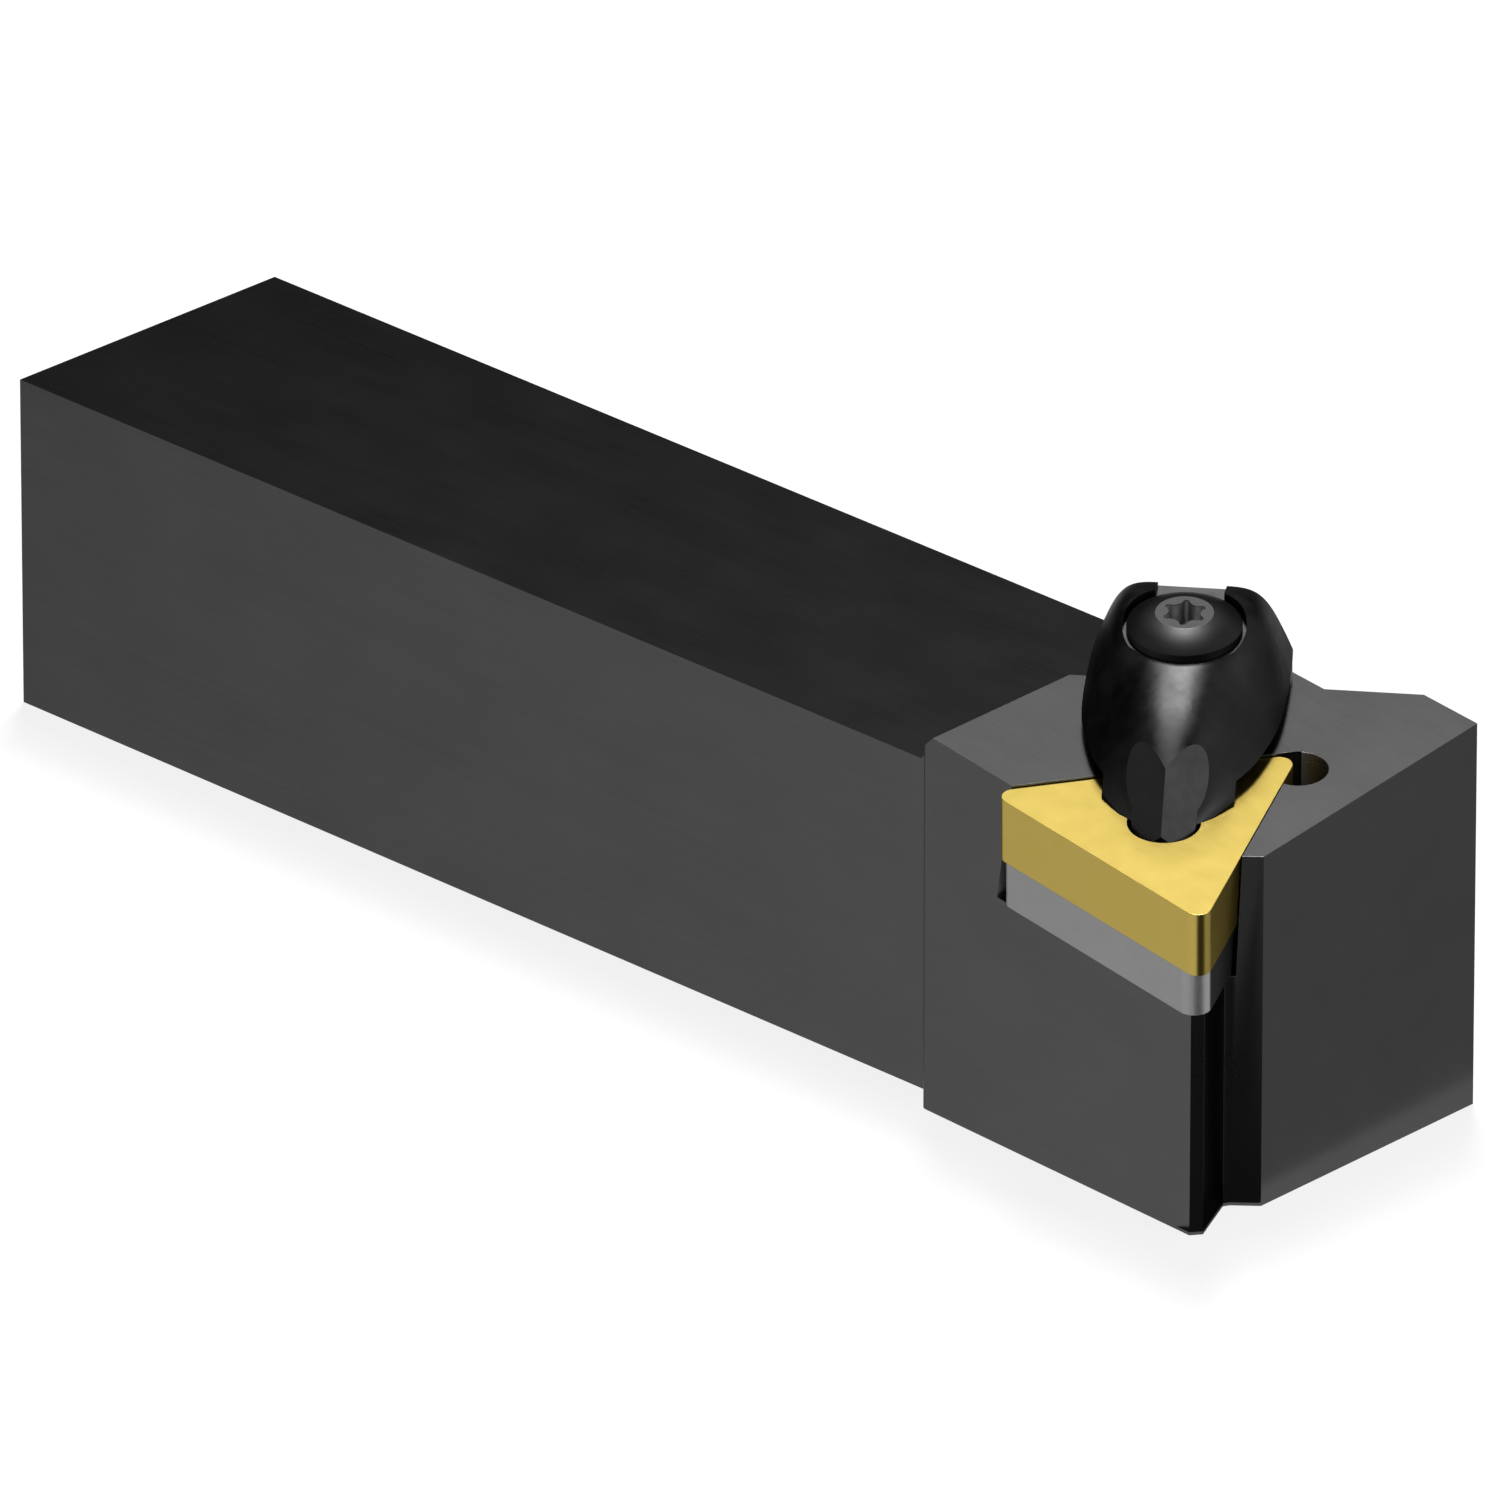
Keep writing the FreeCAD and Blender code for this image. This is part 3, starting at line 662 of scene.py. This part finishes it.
# Board that hangs over the tool: its middle, half its width, and its reach to the back and to the front
ABOVE = Vector((0.12, 0, 1.6))
TOP_HALF = SIDE * 1.3
TOP_BACK = BACK * 0.9
TOP_FRONT = BACK * -1.5


def studio_lamp(name, direction, size, power):
    light = bpy.data.lights.new(name, "AREA")
    light.shape = "DISK"
    light.size = size
    light.energy = power
    lamp = bpy.data.objects.new(name, light)
    bpy.context.scene.collection.objects.link(lamp)
    toward = Vector(direction).normalized()
    lamp.location = TARGET + toward * LAMP_DISTANCE
    lamp.rotation_euler = (-toward).to_track_quat("-Z", "Y").to_euler()


def stage_sheet(name, points):
    mesh = bpy.data.meshes.new(name)
    mesh.from_pydata([tuple(point) for point in points], [], [tuple(range(len(points)))])
    sheet = bpy.data.objects.new(name, mesh)
    bpy.context.scene.collection.objects.link(sheet)
    material = bpy.data.materials.new(name + "_surface")
    material.use_nodes = True
    material.node_tree.nodes.clear()
    mesh.materials.append(material)
    return sheet, material.node_tree


# 1 for rays that see the background itself: from the camera, from a mirror or through glass
def background_rays(tree):
    path = node(tree, "ShaderNodeLightPath")
    seen = node(tree, "ShaderNodeMath", {"operation": "MAXIMUM"}, i0=path.outputs["Is Camera Ray"],
                i1=path.outputs["Is Glossy Ray"])
    return node(tree, "ShaderNodeMath", {"operation": "MAXIMUM"}, i0=seen.outputs[0],
                i1=path.outputs["Is Transmission Ray"]).outputs[0]


# Pale floor that stays white to the camera and keeps a faint shadow of the tool
def pale_floor():
    corners = [(-FLOOR_REACH, -FLOOR_REACH, 0), (FLOOR_REACH, -FLOOR_REACH, 0),
               (FLOOR_REACH, FLOOR_REACH, 0), (-FLOOR_REACH, FLOOR_REACH, 0)]
    floor, tree = stage_sheet("floor", corners)
    paint = node(tree, "ShaderNodeBsdfDiffuse", None, Color=(FLOOR_PAINT, FLOOR_PAINT, FLOOR_PAINT, 1))
    glow = node(tree, "ShaderNodeEmission", None, Color=(1, 1, 1, 1), Strength=WHITE)
    from_camera = node(tree, "ShaderNodeLightPath").outputs["Is Camera Ray"]
    shaded = node(tree, "ShaderNodeMath", {"operation": "MULTIPLY"}, i0=from_camera, i1=SHADOW_SHARE)
    white = node(tree, "ShaderNodeMath", {"operation": "SUBTRACT"}, i0=background_rays(tree),
                 i1=shaded.outputs[0])
    mixed = node(tree, "ShaderNodeMixShader", None, i0=white.outputs[0], i1=paint.outputs[0],
                 i2=glow.outputs[0])
    node(tree, "ShaderNodeOutputMaterial", None, Surface=mixed.outputs[0])


# Card that glows with its own grey and that only the metal's reflections see, as a photographer flags a shiny
# tool: a painted reflection, darker than the white background
def flag_card(name, points, grey):
    flag, tree = stage_sheet(name, points)
    card = node(tree, "ShaderNodeEmission", None, Color=(grey, grey, grey, 1), Strength=WHITE)
    node(tree, "ShaderNodeOutputMaterial", None, Surface=card.outputs[0])
    flag.visible_camera = False
    flag.visible_diffuse = False
    flag.visible_shadow = False


# Slice of the floor from one bearing to another, with its inner corners at the tool
def floor_card(name, corners, first, last, reach, grey):
    bearings = [first + (last - first) * k / CARD_STEPS for k in range(CARD_STEPS + 1)]
    outer = [Vector(corners[0]) + level_way(bearing).xy * reach for bearing in bearings]
    flag_card(name, [(*point, CARD_LIFT) for point in outer + list(reversed(corners))], grey)


def upright_board(name, first, last, foot, top, grey):
    flag_card(name, [(*first.xy, foot), (*last.xy, foot), (*last.xy, top), (*first.xy, top)], grey)


# Room that is white where it is seen or mirrored and dim as a light
def pale_room():
    world = bpy.data.worlds.new("pale_studio")
    bpy.context.scene.world = world
    world.use_nodes = True
    tree = world.node_tree
    tree.nodes.clear()
    dim = node(tree, "ShaderNodeBackground", None, Color=(1, 1, 1, 1), Strength=ROOM_LIGHT)
    white = node(tree, "ShaderNodeBackground", None, Color=(1, 1, 1, 1), Strength=WHITE)
    mixed = node(tree, "ShaderNodeMixShader", None, i0=background_rays(tree), i1=dim.outputs[0],
                 i2=white.outputs[0])
    node(tree, "ShaderNodeOutputWorld", None, Surface=mixed.outputs[0])


for lamp in LAMPS:
    studio_lamp(*lamp)
pale_floor()
for card in FLOOR_CARDS:
    floor_card(*card)
for board in BOARDS:
    upright_board(*board)
flag_card("top_flag", [ABOVE + TOP_BACK - TOP_HALF, ABOVE + TOP_BACK + TOP_HALF,
                       ABOVE + TOP_FRONT + TOP_HALF, ABOVE + TOP_FRONT - TOP_HALF], BLACK)
pale_room()
bpy.context.scene.view_settings.view_transform = "Standard"
